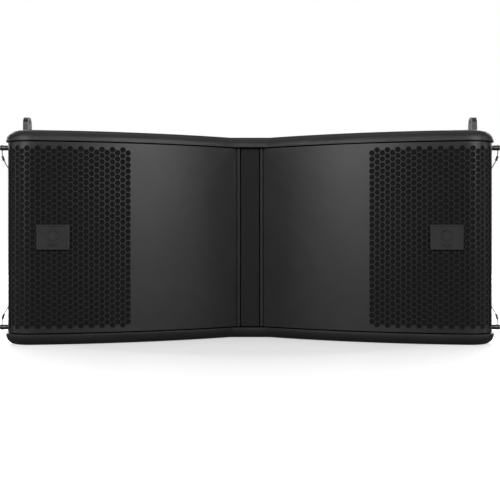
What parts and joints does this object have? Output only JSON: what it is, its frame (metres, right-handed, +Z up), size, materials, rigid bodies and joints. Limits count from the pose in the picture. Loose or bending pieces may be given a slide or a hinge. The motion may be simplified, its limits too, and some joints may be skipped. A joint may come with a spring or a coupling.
{
  "type": "line array speaker",
  "caption": "Wide V-fronted line array loudspeaker with curved perforated grilles, centre slot, side rigging links and quick-release pins.",
  "frame": {"origin": "under the middle of the cabinet, on the floor", "axes": "+X to the right seen from the front, +Y from the front to the back, +Z up"},
  "size_m": [0.864, 0.45, 0.382],
  "materials": {
    "painted_wood": "textured black paint on plywood",
    "raw_board": "stained birch plywood",
    "grille_steel": "satin black powder coat on steel",
    "foam": "open cell foam",
    "moulded_plastic": "fine grained black moulding",
    "badge_metal": "dark satin badge",
    "zinc_screw": "black zinc",
    "cast_frame": "black painted casting",
    "motor_steel": "zinc plated steel",
    "rubber": "matt",
    "paper_cone": "coated paper pulp",
    "spider_cloth": "resin stiffened cloth",
    "rig_steel": "black powder coat on steel",
    "pin_steel": "blackened stainless steel",
    "wire": "coated wire rope",
    "circuit_board": "solder mask",
    "coil_parts": "enamelled copper and film capacitors"
  },
  "bodies": {
    "root": {"back_panel": "painted_wood", "badges": "badge_metal", "bottom_panel": "painted_wood", "chamber_walls": "raw_board", "compression_drivers": "cast_frame", "connectors": "moulded_plastic", "crossover_board": "circuit_board", "crossover_parts": "coil_parts", "driver_screws": "zinc_screw", "grille_foams": "foam", "grille_screws": "zinc_screw", "handle_bars": "rubber", "handle_cups": "moulded_plastic", "hf_slot_cover": "grille_steel", "input_plate": "rig_steel", "left_bottom_lanyard": "wire", "left_grille": "grille_steel", "left_lf_baffle": "raw_board", "left_lf_basket": "cast_frame", "left_lf_motor": "motor_steel", "left_lf_spider": "spider_cloth", "left_lf_surround": "rubber", "left_side_panel": "painted_wood", "left_top_lanyard": "wire", "link_guides": "rig_steel", "rear_bracket": "rig_steel", "rear_corner_panels": "painted_wood", "rear_lanyard": "wire", "rear_screws": "zinc_screw", "rig_plates": "rig_steel", "rig_screws": "zinc_screw", "right_bottom_lanyard": "wire", "right_grille": "grille_steel", "right_lf_baffle": "raw_board", "right_lf_basket": "cast_frame", "right_lf_motor": "motor_steel", "right_lf_spider": "spider_cloth", "right_lf_surround": "rubber", "right_side_panel": "painted_wood", "right_top_lanyard": "wire", "slot_trims": "grille_steel", "splay_pivot_bolt": "zinc_screw", "top_panel": "painted_wood", "waveguide_left_half": "moulded_plastic", "waveguide_right_half": "moulded_plastic"},
    "left_top_pin": {"left_top_pin": "pin_steel"},
    "left_top_pin_button": {"left_top_pin_button": "pin_steel"},
    "left_bottom_pin": {"left_bottom_pin": "pin_steel"},
    "left_bottom_pin_button": {"left_bottom_pin_button": "pin_steel"},
    "right_top_pin": {"right_top_pin": "pin_steel"},
    "right_top_pin_button": {"right_top_pin_button": "pin_steel"},
    "right_bottom_pin": {"right_bottom_pin": "pin_steel"},
    "right_bottom_pin_button": {"right_bottom_pin_button": "pin_steel"},
    "left_front_link": {"left_front_link": "rig_steel"},
    "left_cone": {"left_lf_cone": "paper_cone"},
    "right_front_link": {"right_front_link": "rig_steel"},
    "right_cone": {"right_lf_cone": "paper_cone"},
    "splay_arm": {"splay_arm": "rig_steel"},
    "rear_pin": {"rear_pin": "pin_steel"},
    "rear_pin_button": {"rear_pin_button": "pin_steel"}
  },
  "joints": [
    {"name": "left_top_pin_slide", "type": "slide", "parent": "root", "child": "left_top_pin", "axis": [-1, 0, 0], "range_m": [0, 0.028], "deforming": ["left_top_lanyard"]},
    {"name": "left_top_button_press", "type": "slide", "parent": "left_top_pin", "child": "left_top_pin_button", "axis": [1, 0, 0], "range_m": [0, 0.0018], "stiffness_N_per_m": 800},
    {"name": "left_bottom_pin_slide", "type": "slide", "parent": "root", "child": "left_bottom_pin", "axis": [-1, 0, 0], "range_m": [0, 0.028], "deforming": ["left_bottom_lanyard"]},
    {"name": "left_bottom_button_press", "type": "slide", "parent": "left_bottom_pin", "child": "left_bottom_pin_button", "axis": [1, 0, 0], "range_m": [0, 0.0018], "stiffness_N_per_m": 800},
    {"name": "right_top_pin_slide", "type": "slide", "parent": "root", "child": "right_top_pin", "axis": [1, 0, 0], "range_m": [0, 0.028], "deforming": ["right_top_lanyard"]},
    {"name": "right_top_button_press", "type": "slide", "parent": "right_top_pin", "child": "right_top_pin_button", "axis": [-1, 0, 0], "range_m": [0, 0.0018], "stiffness_N_per_m": 800},
    {"name": "right_bottom_pin_slide", "type": "slide", "parent": "root", "child": "right_bottom_pin", "axis": [1, 0, 0], "range_m": [0, 0.028], "deforming": ["right_bottom_lanyard"]},
    {"name": "right_bottom_button_press", "type": "slide", "parent": "right_bottom_pin", "child": "right_bottom_pin_button", "axis": [-1, 0, 0], "range_m": [0, 0.0018], "stiffness_N_per_m": 800},
    {"name": "left_link_slide", "type": "slide", "parent": "root", "child": "left_front_link", "axis": [0, 0, -1], "range_m": [0, 0.03]},
    {"name": "left_cone_travel", "type": "slide", "parent": "root", "child": "left_cone", "axis": [0.2924, -0.9563, 0], "range_m": [-0.006, 0.006], "stiffness_N_per_m": 4000, "deforming": ["left_lf_surround", "left_lf_spider"]},
    {"name": "right_link_slide", "type": "slide", "parent": "root", "child": "right_front_link", "axis": [0, 0, -1], "range_m": [0, 0.03]},
    {"name": "right_cone_travel", "type": "slide", "parent": "root", "child": "right_cone", "axis": [-0.2924, -0.9563, 0], "range_m": [-0.006, 0.006], "stiffness_N_per_m": 4000, "deforming": ["right_lf_surround", "right_lf_spider"]},
    {"name": "splay_arm_swing", "type": "hinge", "parent": "root", "child": "splay_arm", "pos_m": [0, 0.2105, 0.268], "axis": [1, 0, 0], "range_deg": [0, 180]},
    {"name": "rear_pin_slide", "type": "slide", "parent": "root", "child": "rear_pin", "axis": [1, 0, 0], "range_m": [0, 0.02], "deforming": ["rear_lanyard"]},
    {"name": "rear_button_press", "type": "slide", "parent": "rear_pin", "child": "rear_pin_button", "axis": [-1, 0, 0], "range_m": [0, 0.0018], "stiffness_N_per_m": 800}
  ]
}
